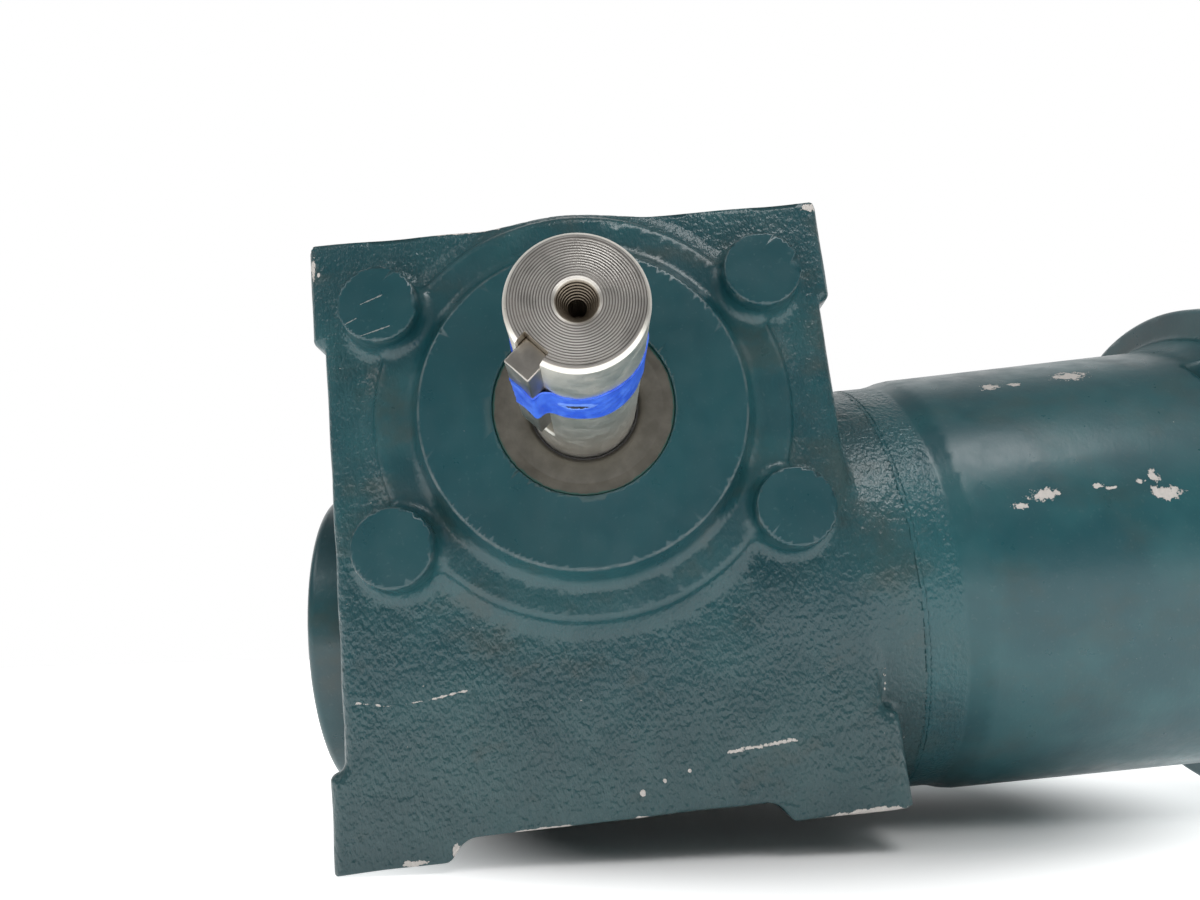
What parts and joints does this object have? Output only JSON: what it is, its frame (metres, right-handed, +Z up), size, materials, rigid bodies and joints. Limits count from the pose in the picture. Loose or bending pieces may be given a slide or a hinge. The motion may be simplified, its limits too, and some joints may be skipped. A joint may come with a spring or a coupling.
{
  "type": "worm gearbox",
  "caption": "Right-angle worm speed reducer: cast housing on feet, keyed solid output shaft, worm with jaw coupling in a C-face motor adapter.",
  "frame": {"origin": "where the output shaft's axis meets the plane of the machined front face", "axes": "+X along the worm's axis towards the motor, +Y along the output shaft's axis into the housing, +Z up from the feet"},
  "size_m": [0.31, 0.2352, 0.2002],
  "materials": {
    "cast_paint": "textured cast enamel",
    "machined_paint": "satin enamel over a machined face",
    "shaft_steel": "turned and ground",
    "key_steel": "drawn bar",
    "seal_steel": "dull pressed steel",
    "bearing_steel": "ground and polished",
    "fastener_steel": "zinc plated",
    "black_steel": "black oxide",
    "bronze": "machined gear bronze",
    "iron": "machined iron",
    "seal_rubber": "moulded nitrile",
    "spider_rubber": "moulded nitrile",
    "blue_tape": "stretched vinyl band",
    "gasket_paper": "pressed fibre"
  },
  "bodies": {
    "gearcase": {"gearbox_housing": "cast_paint", "rear_cover": "machined_paint", "rear_cover_gasket": "gasket_paper", "rear_cover_bolts": "fastener_steel", "rear_cover_shims": "bearing_steel", "output_seal_case": "seal_steel", "output_seal_lip": "seal_rubber", "worm_end_cover": "machined_paint", "worm_end_gasket": "gasket_paper", "worm_end_bolts": "black_steel", "motor_adapter": "machined_paint", "adapter_gasket": "gasket_paper", "adapter_bolts": "black_steel", "input_seal_case": "seal_steel", "input_seal_lip": "seal_rubber", "input_bearing_ring": "black_steel", "front_bearing_cup": "bearing_steel", "rear_bearing_cup": "bearing_steel", "left_bearing_outer": "bearing_steel", "right_bearing_outer": "bearing_steel", "fill_plug": "fastener_steel", "level_plug": "fastener_steel", "drain_plug": "fastener_steel", "vent_plug": "fastener_steel"},
    "output_train": {"output_shaft": "shaft_steel", "output_key": "key_steel", "shaft_tape_band": "blue_tape", "wheel_rim": "bronze", "wheel_hub": "iron", "wheel_pins": "fastener_steel", "wheel_key": "key_steel", "wheel_spacer": "shaft_steel", "front_bearing_cone": "bearing_steel", "rear_bearing_cone": "bearing_steel"},
    "worm_train": {"worm_shaft": "shaft_steel", "left_bearing_inner": "bearing_steel", "right_bearing_inner": "bearing_steel", "worm_locknut": "fastener_steel", "worm_snap_ring": "black_steel", "worm_coupling_hub": "iron", "worm_coupling_key": "key_steel", "worm_coupling_screw": "black_steel", "coupling_spider": "spider_rubber", "motor_coupling_hub": "iron", "motor_coupling_screw": "black_steel"},
    "front_rollers": {"front_bearing_rollers": "bearing_steel", "front_bearing_cage": "seal_steel"},
    "rear_rollers": {"rear_bearing_rollers": "bearing_steel", "rear_bearing_cage": "seal_steel"},
    "left_balls": {"left_bearing_balls": "bearing_steel", "left_bearing_cage": "seal_steel"},
    "right_balls": {"right_bearing_balls": "bearing_steel", "right_bearing_cage": "seal_steel"}
  },
  "joints": [
    {"name": "output_spin", "type": "hinge", "parent": "gearcase", "child": "output_train", "pos_m": [0, 0.0762, 0], "axis": [0, 1, 0], "continuous": true},
    {"name": "worm_spin", "type": "hinge", "parent": "gearcase", "child": "worm_train", "pos_m": [0, 0.0762, -0.054], "axis": [1, 0, 0], "continuous": true},
    {"name": "front_roller_spin", "type": "hinge", "parent": "gearcase", "child": "front_rollers", "pos_m": [0, 0.0265, 0], "axis": [0, 1, 0], "continuous": true},
    {"name": "rear_roller_spin", "type": "hinge", "parent": "gearcase", "child": "rear_rollers", "pos_m": [0, 0.1259, 0], "axis": [0, 1, 0], "continuous": true},
    {"name": "left_ball_spin", "type": "hinge", "parent": "gearcase", "child": "left_balls", "pos_m": [-0.066, 0.0762, -0.054], "axis": [1, 0, 0], "continuous": true},
    {"name": "right_ball_spin", "type": "hinge", "parent": "gearcase", "child": "right_balls", "pos_m": [0.0645, 0.0762, -0.054], "axis": [1, 0, 0], "continuous": true}
  ],
  "couplings": [
    {"joint": "worm_spin", "follows": "output_spin", "ratio": 15},
    {"joint": "front_roller_spin", "follows": "output_spin", "ratio": 0.4331},
    {"joint": "rear_roller_spin", "follows": "output_spin", "ratio": 0.4331},
    {"joint": "left_ball_spin", "follows": "output_spin", "ratio": 5.5167},
    {"joint": "right_ball_spin", "follows": "output_spin", "ratio": 5.569}
  ]
}
